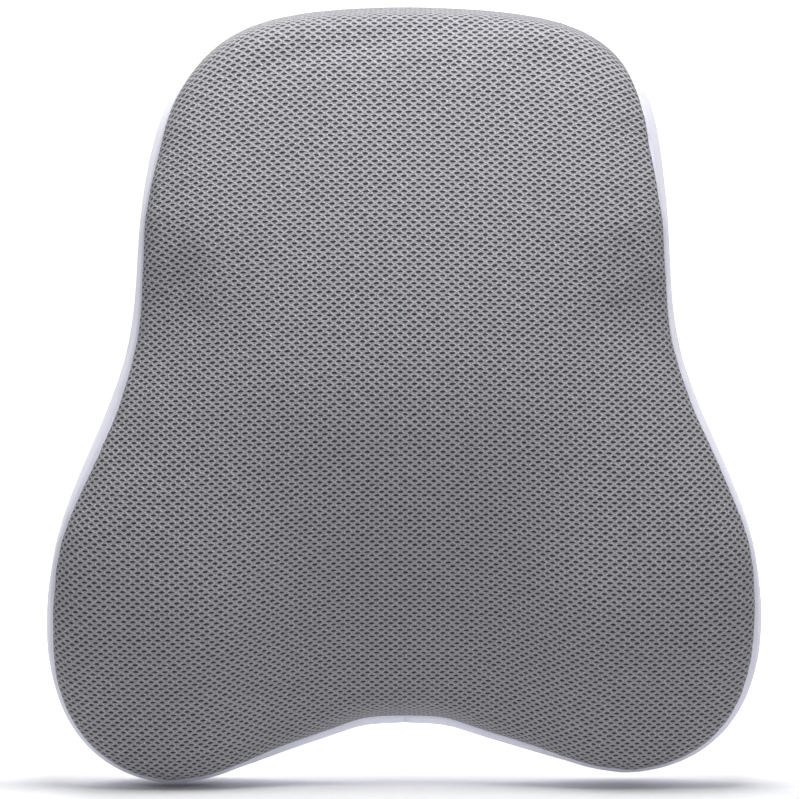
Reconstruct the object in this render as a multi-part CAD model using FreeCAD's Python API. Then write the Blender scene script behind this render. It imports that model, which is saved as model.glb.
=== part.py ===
"""Lumbar support cushion: moulded foam in a zipped cover, with two buckled straps at the back.

Millimetres. X is to the right seen from the front, the front faces -Y, the flat back lies in
Y = 0 and faces +Y, and +Z is up. The origin is the middle of the flat back, halfway up.
Heights named here are measured up from the lowest point of the cushion.
"""

import FreeCAD, Part
import math
import os

Vector = FreeCAD.Vector

# outline of the cushion, seen from the front
cushion_width = 380.0
cushion_height = 410.0
cushion_depth = 120.0
shoulder_width = 276.0
shoulder_radius = 82.0
crown_radius = 476.0
waist_width = 283.0
waist_drop = 130.0
lobe_radius = 72.0
arch_rise = 28.0
side_flare = 12.0
arch_flare = 30.0
back_edge_radius = 18.0
flank_steps = 5

# depth of the front face at its landmarks
apex_height = 215.0
head_depth = 88.0
arch_depth = 64.0
lobe_depth = 108.0
side_fall = 15.0
wing_start = 25.0
wing_reach = 78.0
head_taper = 1.6
seat_taper = 1.5

# layers
mesh_thickness = 3.5
gusset_thickness = 3.5
back_cloth_thickness = 2.0
liner_gap = 0.3
liner_thickness = 0.6
foam_gap = 0.3
zip_room = 1.6
sewn_gap = 0.2
edge_wrap = 6.0
crown_wrap = 46.0
wrap_rise = 66.0
back_seam_depth = 6.0

# zip across the back
zip_height = 95.0
zip_side_margin = 36.0
zip_slot_height = 13.0
tape_width = 15.0
tape_thickness = 0.7
tape_overhang = 4.0
coil_width = 2.4
coil_thickness = 2.0
coil_gap = 1.2
tape_gap = 0.3
coil_end_gap = 1.0
stop_length = 1.6
slider_length = 9.0
slider_width = 9.2
slider_plate = 1.4
slider_clearance = 0.2
post_clearance = 0.15
post_length = 3.0
flange_width = 1.0
crown_length = 8.0
crown_bar = 0.9
crown_width = 2.4
pull_pin_radius = 0.7
pull_length = 24.0
pull_width = 8.0
pull_neck = 6.5
pull_arm = 1.3
pull_side_gap = 0.5
pull_corner_radius = 2.0
pull_hole_radius = 1.6
pull_hole_margin = 1.0

# care label
label_width = 34.0
label_height = 22.0
label_thickness = 0.3
label_offset = 78.0
label_drop = 1.0

# straps
strap_drop_upper = 110.0
strap_height_lower = 160.0
strap_standoff = 30.0
webbing_width = 25.0
webbing_thickness = 1.2
webbing_clearance = 0.15
layer_gap = 0.1
anchor_inset = 7.0
anchor_depth = 6.0
bow_inset = 4.0
bow_height = 12.0
run_inset = 24.0
bow_radius = 11.0
run_radius = 20.0
slit_margin = 0.25
slit_room = 3.0
loop_merge = 10.0
loop_ramp = 6.0
loop_radius = 4.0
loop_back_length = 26.0
tack_inset = 4.0
tack_length = 3.0
tack_width = 20.0
tack_height = 0.4

# side-release buckle
cheek_width = 3.8
cheek_gap = 0.7
buckle_thickness = 10.0
buckle_corner_radius = 3.5
buckle_edge_radius = 1.2
bar_rounding = 0.45
socket_length = 38.0
mouth_offset = 8.0
socket_wall = 2.0
socket_side_wall = 3.5
window_length = 11.0
window_setback = 9.0
frame_slot_length = 5.5
frame_bar = 3.5
frame_bar_thickness = 3.0
plug_gap = 0.3
plug_base_length = 6.0
plug_slot_length = 9.0
tongue_length = 28.0
tongue_width = 7.0
arm_root_width = 2.8
arm_side_gap = 1.1
arm_length = 23.0
barb_length = 3.5
latch_clearance = 0.4

# three-bar adjuster
adjuster_gap = 10.0
adjuster_length = 18.0
adjuster_cheek = 2.5
outer_bar_length = 3.0
outer_bar_thickness = 1.8
centre_bar_length = 3.2
adjuster_tail = 8.0

# how far cutting blocks and fused pieces run past the faces they meet
spare = 10.0
lap = 1.0
tolerance = 0.01


def level(height):
    """Row-frame Z of a height above the cushion's lowest point."""
    return height - cushion_height / 2


def smooth(value):
    """Rises from 0 to 1 with no jump in slope or curvature."""
    t = min(max(value, 0.0), 1.0)
    return t * t * t * (t * (6 * t - 15) + 10)


def box(x, y, z):
    """A block between the two ends given for each axis."""
    size = [abs(ends[1] - ends[0]) for ends in (x, y, z)]
    return Part.makeBox(*size, Vector(min(x), min(y), min(z)))


def mirrored(shape):
    """The shape across the YZ plane."""
    return shape.mirror(Vector(0, 0, 0), Vector(1, 0, 0))


def one_solid(shape):
    """The biggest solid of a boolean's result."""
    return max(shape.Solids, key=lambda solid: solid.Volume)


def edges_along(shape, axis):
    """The edges that start out along one axis."""
    found = []
    for edge in shape.Edges:
        way = edge.tangentAt(edge.FirstParameter)
        if abs(getattr(way, axis)) > 0.9:
            found.append(edge)
    return found


# ---------------------------------------------------------------- the cushion's body


def on_arc(centre, radius, turn):
    """The point of a circle in the outline's plane, turn radians up from its right."""
    return (centre[0] + radius * math.cos(turn), centre[1] + radius * math.sin(turn))


def half_outline():
    """Points down the right side, from the middle of the crown to the middle of the arch."""
    crown_centre = cushion_height - crown_radius
    corner_x = shoulder_width / 2 - shoulder_radius
    between_centres = crown_radius - shoulder_radius
    corner_z = crown_centre + math.sqrt(between_centres**2 - corner_x**2)
    join = math.atan2(corner_z - crown_centre, corner_x)
    half_crown = (math.pi / 2 + join) / 2
    points = [(0.0, cushion_height)]
    points.append(on_arc((0.0, crown_centre), crown_radius, half_crown))
    for third in (3, 2, 1, 0):
        points.append(on_arc((corner_x, corner_z), shoulder_radius, join * third / 3))
    waist_height = cushion_height - waist_drop
    flank = cushion_width / 2 - waist_width / 2
    for step in range(flank_steps):
        down = step / flank_steps
        z = waist_height + (lobe_radius - waist_height) * down
        points.append((waist_width / 2 + flank * smooth(down), z))
    foot_x = cushion_width / 2 - lobe_radius
    for degrees in (0, -30, -60, -90):
        points.append(on_arc((foot_x, lobe_radius), lobe_radius, math.radians(degrees)))
    for quarter in (3, 2, 1, 0):
        out = quarter / 4
        points.append((foot_x * out, arch_rise * (1 + math.cos(math.pi * out)) / 2))
    return points


def side_curve(points):
    """The right-hand half of an outline, level where it meets its mirror image."""
    curve = Part.BSplineCurve()
    curve.interpolate(Points=points, InitialTangent=Vector(1, 0, 0), FinalTangent=Vector(-1, 0, 0))
    return curve


OUTLINE = [Vector(x, 0, level(height)) for x, height in half_outline()]
OUTLINE_CURVE = side_curve(OUTLINE)


def outward(point):
    """The outline's outward normal at one of its points."""
    along = OUTLINE_CURVE.tangent(OUTLINE_CURVE.parameter(point))[0]
    return Vector(-along.z, 0, along.x).normalize()


def half_width(height):
    """Half the cushion's width at a height, at its widest layer."""
    z = level(height)
    ray = Part.makeLine(Vector(0, 0, z), Vector(cushion_width, 0, z))
    return OUTLINE_CURVE.toShape().distToShape(ray)[1][0][1].x


def wall_wire(y, inset):
    """The outline at one depth, drawn in all round by inset and narrowing towards the front.

    It is widest where the back edge's rounding begins. The narrowing leaves the feet of the lobes
    level, so the cushion stands on them.
    """
    foot_x = cushion_width / 2 - lobe_radius
    forward = (-y - back_edge_radius) / (cushion_depth - back_edge_radius)
    points = []
    for point in OUTLINE:
        normal = outward(point)
        lift = side_flare * forward * normal.z
        if normal.z < 0:
            lift = arch_flare * forward * normal.z * (1 - smooth(abs(point.x) / foot_x))
        moved = point - normal * inset - Vector(side_flare * forward * normal.x, 0, lift)
        points.append(Vector(moved.x, y, moved.z))
    right = side_curve(points).toShape()
    return Part.Wire(Part.__sortEdges__([right, mirrored(right)]))


def front_depth(x, height):
    """Distance from the back plane to the front face."""
    if height > apex_height:
        t = (height - apex_height) / (cushion_height - apex_height)
        middle = cushion_depth - (cushion_depth - head_depth) * t**head_taper
    else:
        t = (apex_height - height) / (apex_height - arch_rise)
        middle = cushion_depth - (cushion_depth - arch_depth) * t**seat_taper
    lobe_t = (apex_height - lobe_radius) / (apex_height - arch_rise)
    lobe_middle = cushion_depth - (cushion_depth - arch_depth) * lobe_t**seat_taper
    above = max(height - lobe_radius, 0.0) / wing_reach
    foot_x = cushion_width / 2 - lobe_radius
    across = smooth((abs(x) - wing_start) / (foot_x - wing_start))
    wing = (lobe_depth - lobe_middle) * math.exp(-above * above) * across
    side = abs(x) / (cushion_width / 2)
    return middle + wing - side_fall * side**4


def behind_front(drop):
    """Everything behind the front face once that face is moved back by drop(height)."""
    columns = 15
    rows = 17
    margin = 2 * spare
    grid = []
    for i in range(columns):
        x = (i / (columns - 1) - 0.5) * (cushion_width + 2 * margin)
        column = []
        for j in range(rows):
            height = (cushion_height + 2 * margin) * j / (rows - 1) - margin
            column.append(Vector(x, drop(height) - front_depth(x, height), level(height)))
        grid.append(column)
    surface = Part.BSplineSurface()
    surface.interpolate(grid)
    return surface.toShape().extrude(Vector(0, 2 * cushion_depth, 0))


def body(inset, back_inset):
    """The cushion's whole solid, drawn in all round by inset and by back_inset at the back."""
    front = -(cushion_depth + spare)
    back_wire = wall_wire(-back_inset, inset)
    front_wire = wall_wire(front, inset)
    walls = Part.makeLoft([back_wire, front_wire], True, True)
    rim = [edge for edge in walls.Edges if abs(edge.CenterOfMass.y + back_inset) < tolerance]
    rounded = walls.makeFillet(back_edge_radius - inset, rim)
    return one_solid(rounded.common(behind_front(lambda height: inset)))


def wrap(height):
    """How far the mesh is carried back over the front edge: far over the crown, little elsewhere."""
    start = cushion_height - shoulder_radius
    return edge_wrap + (crown_wrap - edge_wrap) * smooth((height - start) / wrap_rise)


liner_inset = mesh_thickness + liner_gap
liner_back = back_cloth_thickness + liner_gap + tape_gap + tape_thickness + zip_room
foam_inset = liner_inset + liner_thickness + foam_gap
foam_back = liner_back + liner_thickness + foam_gap
far = cushion_width + cushion_height

outside = body(0, 0)
front_hollow = body(mesh_thickness, mesh_thickness)
gusset_hollow = body(gusset_thickness, gusset_thickness)
back_hollow = body(back_cloth_thickness, back_cloth_thickness)
liner_outside = body(liner_inset, liner_back)
liner_inside = body(liner_inset + liner_thickness, liner_back + liner_thickness)

behind_seam = behind_front(wrap)
behind_seam_gap = behind_front(lambda height: wrap(height) + sewn_gap)
back_zone = box((-far, far), (-back_seam_depth, spare), (-far, far))
back_zone_gap = box((-far, far), (-back_seam_depth - sewn_gap, spare), (-far, far))

parts = {}
parts["foam_core"] = body(foam_inset, foam_back)
parts["inner_liner"] = liner_outside.cut(liner_inside)
parts["front_panel"] = outside.cut(front_hollow).cut(behind_seam)

gusset = outside.cut(gusset_hollow).common(behind_seam_gap).cut(back_zone_gap)
back_cloth = outside.cut(back_hollow).common(back_zone)

# ---------------------------------------------------------------- zip

zip_z = level(zip_height)
zip_half = half_width(zip_height) - zip_side_margin
tape_half = zip_half + tape_overhang
slot_half = zip_slot_height / 2
coil_top = -tape_gap
coil_bottom = coil_top - coil_thickness
tape_top = -(back_cloth_thickness + tape_gap)
tape_bottom = tape_top - tape_thickness
coil_half = zip_half - stop_length - 2 * slider_clearance - coil_end_gap

cloth_depth = (-back_seam_depth - lap, spare)
slot = box((-zip_half, zip_half), cloth_depth, (zip_z - slot_half, zip_z + slot_half))
seam_cut = box((-far, far), cloth_depth, (zip_z - sewn_gap / 2, zip_z + sewn_gap / 2))
panels = back_cloth.cut(slot).cut(seam_cut).Solids
parts["back_panel_upper"] = max(panels, key=lambda solid: solid.CenterOfMass.z)
parts["back_panel_lower"] = min(panels, key=lambda solid: solid.CenterOfMass.z)

for name, side in (("upper", 1), ("lower", -1)):
    coil_z = [zip_z + side * coil_gap / 2, zip_z + side * (coil_gap / 2 + coil_width)]
    tape_z = [zip_z + side * coil_gap / 2, zip_z + side * tape_width]
    parts["zip_coil_" + name] = box((-coil_half, coil_half), (coil_bottom, coil_top), coil_z)
    parts["zip_tape_" + name] = box((-tape_half, tape_half), (tape_bottom, tape_top), tape_z)

stop_z = (zip_z - coil_gap / 2 - coil_width, zip_z + coil_gap / 2 + coil_width)
stop_x = (coil_half + slider_clearance, coil_half + slider_clearance + stop_length)
left_stop = box((-stop_x[0], -stop_x[1]), (coil_bottom, 0), stop_z)
right_stop = box(stop_x, (coil_bottom, 0), stop_z)
parts["zip_stops"] = Part.makeCompound([left_stop, right_stop])

slider_x = coil_half - slider_length / 2
slider_ends = (slider_x - slider_length / 2, slider_x + slider_length / 2)
slider_z = (zip_z - slider_width / 2, zip_z + slider_width / 2)
plate_low = slider_clearance
plate_high = plate_low + slider_plate
under_high = tape_bottom - slider_clearance
post_half = coil_gap / 2 - post_clearance
slider = box(slider_ends, (plate_low, plate_high), slider_z)
slider = slider.fuse(box(slider_ends, (under_high - slider_plate, under_high), slider_z))
post_x = (slider_ends[1] - post_length, slider_ends[1])
slider = slider.fuse(box(post_x, (under_high, plate_low), (zip_z - post_half, zip_z + post_half)))
for side in (-1, 1):
    flange_z = (zip_z + side * slider_width / 2, zip_z + side * (slider_width / 2 - flange_width))
    slider = slider.fuse(box(slider_ends, (tape_top + slider_clearance, plate_low), flange_z))
pin_y = plate_high + slider_clearance + pull_pin_radius
crown_x = (slider_x - crown_length / 2, slider_x + crown_length / 2)
crown_under = pin_y + pull_pin_radius + slider_clearance
crown_z = (zip_z - crown_width / 2, zip_z + crown_width / 2)
crown = box(crown_x, (plate_high, crown_under + crown_bar), crown_z)
crown_inside = (crown_x[0] + crown_bar, crown_x[1] - crown_bar)
crown = crown.cut(box(crown_inside, (plate_high, crown_under), crown_z))
parts["zip_slider"] = slider.fuse(crown).removeSplitter()

pull_y = (pin_y - pull_pin_radius, pin_y + pull_pin_radius)
pin_half = crown_width / 2 + pull_side_gap + pull_arm
pin_foot = Vector(slider_x, pin_y, zip_z - pin_half)
pull = Part.makeCylinder(pull_pin_radius, 2 * pin_half, pin_foot, Vector(0, 0, 1))
for side in (-1, 1):
    arm_z = (zip_z + side * pin_half, zip_z + side * (pin_half - pull_arm))
    pull = pull.fuse(box((slider_x - pull_neck, slider_x), pull_y, arm_z))
tab_x = (slider_x - pull_length, slider_x - pull_neck)
tab = box(tab_x, pull_y, (zip_z - pull_width / 2, zip_z + pull_width / 2))
tab = tab.makeFillet(pull_corner_radius, edges_along(tab, "y"))
eye = Vector(tab_x[0] + 2 * pull_hole_radius + pull_hole_margin, pull_y[0], zip_z)
tab = tab.cut(Part.makeCylinder(pull_hole_radius, 2 * pull_pin_radius, eye, Vector(0, 1, 0)))
parts["zip_pull"] = pull.fuse(tab).removeSplitter()

label_top = zip_z - slot_half - label_drop
label_x = (-label_offset - label_width / 2, -label_offset + label_width / 2)
label_y = (sewn_gap, sewn_gap + label_thickness)
parts["care_label"] = box(label_x, label_y, (label_top - label_height, label_top))

# ---------------------------------------------------------------- straps


def webbing(points, radii, z):
    """A flat strip whose centre line runs through points in XY, with each corner rounded."""
    half = webbing_thickness / 2
    stretches = []
    here = points[0]
    for corner, after, radius in zip(points[1:], points[2:], radii):
        into = (corner - here).normalize()
        out = (after - corner).normalize()
        half_turn = into.getAngle(out) / 2
        setback = radius * math.tan(half_turn)
        start = corner - into * setback
        end = corner + out * setback
        towards = (out - into).normalize()
        middle = corner + towards * (radius / math.cos(half_turn) - radius)
        stretches.append([(here, into), (start, into)])
        stretches.append([(start, into), (middle, (into + out).normalize()), (end, out)])
        here = end
    last = (points[-1] - here).normalize()
    stretches.append([(here, last), (points[-1], last)])
    edges = []
    ends = []
    for side in (half, -half):
        for stretch in stretches:
            line = [point + Vector(-way.y, way.x, 0) * side for point, way in stretch]
            if len(line) == 3:
                edges.append(Part.Arc(*line).toShape())
            elif (line[1] - line[0]).Length > tolerance:
                edges.append(Part.makeLine(*line))
        first = stretches[0][0]
        final = stretches[-1][-1]
        ends.append([point + Vector(-way.y, way.x, 0) * side for point, way in (first, final)])
    edges.append(Part.makeLine(ends[0][0], ends[1][0]))
    edges.append(Part.makeLine(ends[0][1], ends[1][1]))
    outline = Part.Wire(Part.__sortEdges__(edges))
    strip = Part.Face(outline).extrude(Vector(0, 0, webbing_width))
    strip.translate(Vector(0, 0, z - webbing_width / 2))
    return strip


def rounded_block(x, y, z, corner):
    """A moulded block with its four corners along Y rounded and its rims eased."""
    block = box(x, y, z)
    block = block.makeFillet(corner, edges_along(block, "y"))
    rims = [edge for edge in block.Edges if edge.BoundBox.YLength < tolerance]
    return block.makeFillet(buckle_edge_radius, rims)


def round_bar(x, y, z):
    """A bar along Z with its four long edges rounded, for webbing to turn round."""
    bar = box(x, y, z)
    return bar.makeFillet(bar_rounding * (y[1] - y[0]), edges_along(bar, "z"))


def webbing_frame(near, far, bar_from, y, z):
    """The open frame that carries webbing: two cheeks from near to far, and a round bar at bar_from."""
    frame = None
    for way in (-1, 1):
        cheek = box((near, far), y, (z + way * inner_half, z + way * buckle_width / 2))
        frame = cheek if frame is None else frame.fuse(cheek)
    bar = round_bar((bar_from, bar_from + frame_bar), y, (z - inner_half, z + inner_half))
    return frame.fuse(bar)


main_y = strap_standoff
bar_wrap = frame_bar_thickness / 2 + webbing_clearance + webbing_thickness / 2
buckle_y = main_y - bar_wrap
return_y = main_y - 2 * bar_wrap
inner_half = webbing_width / 2 + cheek_gap
buckle_width = 2 * (inner_half + cheek_width)

mouth_x = mouth_offset
socket_back = mouth_x - socket_length
frame_back = socket_back - frame_slot_length - frame_bar
plug_start = mouth_x + plug_gap
plug_slot_start = plug_start + plug_base_length
plug_end = plug_slot_start + plug_slot_length + frame_bar
adjuster_start = plug_end + adjuster_gap
adjuster_end = adjuster_start + adjuster_length
centre_bar_x = (adjuster_start + adjuster_end) / 2


def anchor_route(half):
    """Centre line from the side seam out to the straight run behind the back."""
    return [
        Vector(half - anchor_inset, -anchor_depth, 0),
        Vector(half - bow_inset, bow_height, 0),
        Vector(half - run_inset, main_y, 0),
    ]


def socket(z):
    """Female half of the buckle: a hollow body with side windows and a bar for the webbing."""
    thick = (buckle_y - buckle_thickness / 2, buckle_y + buckle_thickness / 2)
    wide = (z - buckle_width / 2, z + buckle_width / 2)
    shape = rounded_block((socket_back, mouth_x), thick, wide, buckle_corner_radius)
    low = (buckle_y - frame_bar_thickness / 2, buckle_y + frame_bar_thickness / 2)
    root = socket_back + buckle_corner_radius + lap
    shape = shape.fuse(webbing_frame(frame_back, root, frame_back, low, z))
    cavity_y = (thick[0] + socket_wall, thick[1] - socket_wall)
    cavity_z = (wide[0] + socket_side_wall, wide[1] - socket_side_wall)
    shape = shape.cut(box((socket_back + socket_wall, mouth_x + lap), cavity_y, cavity_z))
    window = (mouth_x - window_setback - window_length, mouth_x - window_setback)
    return shape.cut(box(window, cavity_y, (wide[0] - lap, wide[1] + lap))).removeSplitter()


def plug(z):
    """Male half: a base with a guide tongue, and a frame whose bar carries the webbing."""
    thick = (buckle_y - buckle_thickness / 2, buckle_y + buckle_thickness / 2)
    wide = (z - buckle_width / 2, z + buckle_width / 2)
    shape = rounded_block((plug_start, plug_slot_start), thick, wide, plug_base_length / 3)
    low = (buckle_y - frame_bar_thickness / 2, buckle_y + frame_bar_thickness / 2)
    frame = webbing_frame(plug_slot_start - lap, plug_end, plug_end - frame_bar, low, z)
    room = buckle_thickness / 2 - socket_wall - latch_clearance
    tongue_y = (buckle_y - room, buckle_y + room)
    tongue_z = (z - tongue_width / 2, z + tongue_width / 2)
    tongue = box((plug_start - tongue_length, plug_start + lap), tongue_y, tongue_z)
    return shape.fuse([frame, tongue]).removeSplitter()


def latch_arms(z):
    """The plug's two springy arms, each ending in a barb that sits in a socket window."""
    room = buckle_thickness / 2 - socket_wall - latch_clearance
    window_front = mouth_x - window_setback - latch_clearance
    window_back = mouth_x - window_setback - window_length + latch_clearance
    outer = buckle_width / 2 - socket_side_wall - arm_side_gap
    arm_inner = outer - arm_root_width
    barb = buckle_width / 2 - latch_clearance
    side = [
        (plug_start, arm_inner),
        (plug_start, outer),
        (window_front, outer),
        (window_front, barb),
        (window_front - barb_length, barb),
        (window_back, outer),
        (plug_start - arm_length, outer - arm_root_width / 3),
        (plug_start - arm_length, arm_inner),
    ]
    arms = []
    for way in (-1, 1):
        corners = [Vector(x, buckle_y - room, z + way * across) for x, across in side]
        profile = Part.Face(Part.makePolygon(corners + corners[:1]))
        arms.append(profile.extrude(Vector(0, 2 * room, 0)))
    return Part.makeCompound(arms)


def adjuster(z):
    """Three-bar slide: two outer bars above the webbing and one centre bar that it loops round."""
    top = main_y + webbing_thickness / 2 + webbing_clearance + outer_bar_thickness
    bottom = centre_bar_y - centre_bar_thickness / 2
    ends = (adjuster_start, adjuster_end)
    shape = None
    for way in (-1, 1):
        cheek = box(ends, (bottom, top), (z + way * inner_half, z + way * (inner_half + adjuster_cheek)))
        shape = cheek if shape is None else shape.fuse(cheek)
    wide = (z - inner_half, z + inner_half)
    for start in (adjuster_start, adjuster_end - outer_bar_length):
        shape = shape.fuse(box((start, start + outer_bar_length), (top - outer_bar_thickness, top), wide))
    bar_x = (centre_bar_x - centre_bar_length / 2, centre_bar_x + centre_bar_length / 2)
    bar_y = (bottom, bottom + centre_bar_thickness)
    return shape.fuse(round_bar(bar_x, bar_y, wide)).removeSplitter()


tail_y = main_y - webbing_thickness - layer_gap
centre_bar_thickness = tail_y - return_y - webbing_thickness - 2 * webbing_clearance
centre_bar_y = (tail_y + return_y) / 2
end_turn = (tail_y - return_y) / 2
anchor_lean = anchor_depth * (anchor_inset - bow_inset) / (anchor_depth + bow_height)
slits = []
tacks = []
for name, height in (("upper", cushion_height - strap_drop_upper), ("lower", strap_height_lower)):
    z = level(height)
    half = half_width(height)
    route = anchor_route(half)
    slit_half = webbing_width / 2 + slit_margin
    slit_reach = webbing_thickness / 2 + slit_margin
    slit_x = (half - anchor_inset - slit_reach, half - anchor_inset + anchor_lean + slit_reach)
    slit = box(slit_x, (-anchor_depth - slit_room, lap), (z - slit_half, z + slit_half))
    slits.extend([slit, mirrored(slit)])

    # socket side: round the socket's bar and sewn back on itself
    bar_x = -frame_back - frame_bar - webbing_clearance - webbing_thickness / 2
    merge_x = -frame_back + loop_merge
    short = route + [
        Vector(bar_x, main_y, 0),
        Vector(bar_x, return_y, 0),
        Vector(merge_x - loop_ramp, return_y, 0),
        Vector(merge_x, tail_y, 0),
        Vector(merge_x + loop_back_length, tail_y, 0),
    ]
    short_radii = [bow_radius, run_radius, bar_wrap, bar_wrap, loop_radius, loop_radius]
    parts["strap_" + name + "_short"] = mirrored(webbing(short, short_radii, z))

    # plug side: through the adjuster, round the plug's bar and back to the adjuster's centre bar
    bar_x = plug_end - frame_bar - webbing_clearance - webbing_thickness / 2
    end_x = centre_bar_x + centre_bar_length / 2 + webbing_clearance + webbing_thickness / 2
    long = route + [
        Vector(bar_x, main_y, 0),
        Vector(bar_x, return_y, 0),
        Vector(end_x, return_y, 0),
        Vector(end_x, tail_y, 0),
        Vector(end_x - adjuster_tail, tail_y, 0),
    ]
    long_radii = [bow_radius, run_radius, bar_wrap, bar_wrap, end_turn, end_turn]
    parts["strap_" + name + "_long"] = webbing(long, long_radii, z)

    parts["buckle_" + name + "_socket"] = socket(z)
    parts["buckle_" + name + "_plug"] = plug(z)
    parts["buckle_" + name + "_arms"] = latch_arms(z)
    parts["adjuster_" + name] = adjuster(z)

    tack_low = main_y + webbing_thickness / 2 + layer_gap
    tack_y = (tack_low, tack_low + tack_height)
    tack_z = (z - tack_width / 2, z + tack_width / 2)
    for tack_x in (merge_x + tack_inset, merge_x + loop_back_length - tack_inset):
        tacks.append(box((-tack_x - tack_length / 2, -tack_x + tack_length / 2), tack_y, tack_z))

parts["strap_stitching"] = Part.makeCompound(tacks)

# ---------------------------------------------------------------- finish the cover and write

for slit in slits:
    gusset = gusset.cut(slit)
    parts["back_panel_upper"] = one_solid(parts["back_panel_upper"].cut(slit))
    parts["back_panel_lower"] = one_solid(parts["back_panel_lower"].cut(slit))

half_space = box((sewn_gap / 2, far), (-far, far), (-far, far))
parts["gusset_right"] = one_solid(gusset.common(half_space))
parts["gusset_left"] = one_solid(gusset.common(mirrored(half_space)))
parts["front_panel"] = one_solid(parts["front_panel"])
parts["inner_liner"] = one_solid(parts["inner_liner"])

os.makedirs("parts", exist_ok=True)
for name, shape in parts.items():
    shape.exportStep(os.path.join("parts", name + ".step"))
    print(name, len(shape.Solids), "solid", round(shape.Volume / 1000, 2), "cm3", shape.isValid())
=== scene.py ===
import math
import bmesh
import bpy
import numpy as np
from mathutils import Matrix, Vector
from mathutils.bvhtree import BVHTree


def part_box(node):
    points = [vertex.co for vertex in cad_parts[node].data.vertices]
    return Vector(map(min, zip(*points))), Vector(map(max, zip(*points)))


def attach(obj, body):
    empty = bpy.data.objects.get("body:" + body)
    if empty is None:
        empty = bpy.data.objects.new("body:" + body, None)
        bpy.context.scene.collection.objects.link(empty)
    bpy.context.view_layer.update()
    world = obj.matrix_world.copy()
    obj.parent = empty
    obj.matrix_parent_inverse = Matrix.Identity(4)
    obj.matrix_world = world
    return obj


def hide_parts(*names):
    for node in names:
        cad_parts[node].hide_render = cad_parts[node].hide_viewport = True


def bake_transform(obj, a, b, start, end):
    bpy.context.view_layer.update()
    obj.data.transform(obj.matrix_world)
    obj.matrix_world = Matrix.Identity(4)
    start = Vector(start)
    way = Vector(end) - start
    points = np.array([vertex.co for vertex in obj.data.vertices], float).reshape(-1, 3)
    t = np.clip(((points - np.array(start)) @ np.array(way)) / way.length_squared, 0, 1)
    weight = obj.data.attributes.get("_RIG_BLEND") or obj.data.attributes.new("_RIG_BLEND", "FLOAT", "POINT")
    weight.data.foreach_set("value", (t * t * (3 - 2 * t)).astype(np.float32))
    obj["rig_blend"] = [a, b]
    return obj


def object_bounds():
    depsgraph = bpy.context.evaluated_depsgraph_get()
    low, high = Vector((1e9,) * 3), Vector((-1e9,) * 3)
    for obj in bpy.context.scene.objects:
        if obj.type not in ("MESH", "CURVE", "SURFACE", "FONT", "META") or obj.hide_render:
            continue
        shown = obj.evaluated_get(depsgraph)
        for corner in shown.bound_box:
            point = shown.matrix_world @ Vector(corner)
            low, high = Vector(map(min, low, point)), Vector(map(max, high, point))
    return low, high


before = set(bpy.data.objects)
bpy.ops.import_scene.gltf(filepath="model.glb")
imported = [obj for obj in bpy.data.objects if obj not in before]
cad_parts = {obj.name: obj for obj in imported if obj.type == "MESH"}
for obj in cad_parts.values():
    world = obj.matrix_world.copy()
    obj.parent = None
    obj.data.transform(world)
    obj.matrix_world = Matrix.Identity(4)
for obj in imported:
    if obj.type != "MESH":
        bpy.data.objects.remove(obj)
cad_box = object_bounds()

# ---------------------------------------------------------------- camera
# A long lens stands well in front of the cushion and a little above its middle, so that the
# cushion's sides stay upright.
view_width = 0.4181
lens_distance = 2.0
lens_rise = math.radians(1.5)
aim = Vector((-0.0027, -0.055, -0.0024))

camera_data = bpy.data.cameras.new("camera")
camera_data.sensor_width = 36.0
camera_data.lens = camera_data.sensor_width * lens_distance / view_width
camera_data.clip_start = 0.05
camera_data.clip_end = 50.0
camera = bpy.data.objects.new("camera", camera_data)
bpy.context.scene.collection.objects.link(camera)
back_off = Vector((0.0, -math.cos(lens_rise), math.sin(lens_rise)))
camera.location = aim + back_off * lens_distance
camera.rotation_euler = (-back_off).to_track_quat("-Z", "Y").to_euler()
bpy.context.scene.camera = camera


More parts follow.
